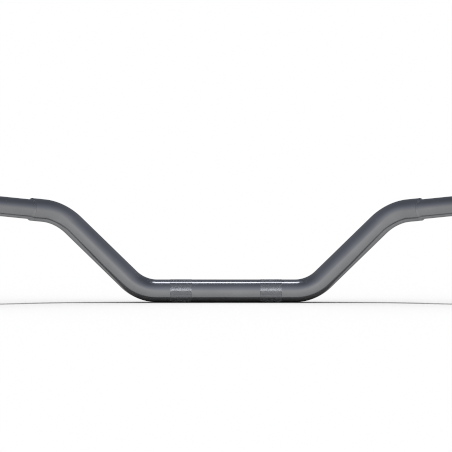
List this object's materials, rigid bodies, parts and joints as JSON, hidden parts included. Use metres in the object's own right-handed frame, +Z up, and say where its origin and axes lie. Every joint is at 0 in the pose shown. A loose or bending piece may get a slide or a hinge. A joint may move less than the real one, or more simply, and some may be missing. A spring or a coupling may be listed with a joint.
{
  "type": "motorcycle handlebar",
  "caption": "Stepped tube handlebar with knurled clamp bands, raised and pulled-back ends, thinner welded-in grip tubes and expanding bar-end plugs.",
  "frame": {"origin": "middle of the clamp section, on its axis", "axes": "+X along the bar, +Z up as the risers stand, -Y towards the rider"},
  "size_m": [0.8088, 0.1409, 0.1377],
  "materials": {
    "satin_steel": "satin grey plated steel tube",
    "weld": "dressed weld bead under the same satin plating",
    "cap": "satin anodised",
    "fastener": "plated fastener steel",
    "nut": "turned brass",
    "rubber": "matt black rubber"
  },
  "bodies": {
    "bar": {"main_tube": "satin_steel", "left_grip_tube": "satin_steel", "left_shoulder_weld": "weld", "left_end_cap": "cap", "left_cap_washer": "fastener", "left_expander_sleeve": "rubber", "right_grip_tube": "satin_steel", "right_shoulder_weld": "weld", "right_end_cap": "cap", "right_cap_washer": "fastener", "right_expander_sleeve": "rubber"},
    "left_screw": {"left_cap_screw": "fastener"},
    "left_nut": {"left_wedge_nut": "nut"},
    "right_screw": {"right_cap_screw": "fastener"},
    "right_nut": {"right_wedge_nut": "nut"}
  },
  "joints": [
    {"name": "left_screw_turn", "type": "hinge", "parent": "bar", "child": "left_screw", "pos_m": [-0.39527, -0.11657, 0.11335], "axis": [-0.8697, -0.4821, 0.1063], "range_deg": [0, 1080]},
    {"name": "left_nut_slide", "type": "slide", "parent": "bar", "child": "left_nut", "axis": [0.8697, 0.4821, -0.1063], "range_m": [0, 0.003]},
    {"name": "right_screw_turn", "type": "hinge", "parent": "bar", "child": "right_screw", "pos_m": [0.39527, -0.11657, 0.11335], "axis": [0.8697, -0.4821, 0.1063], "range_deg": [0, 1080]},
    {"name": "right_nut_slide", "type": "slide", "parent": "bar", "child": "right_nut", "axis": [-0.8697, 0.4821, -0.1063], "range_m": [0, 0.003]}
  ],
  "couplings": [
    {"joint": "left_screw_turn", "follows": "left_nut_slide", "rad_per_m": 6283.2},
    {"joint": "right_screw_turn", "follows": "right_nut_slide", "rad_per_m": 6283.2}
  ]
}
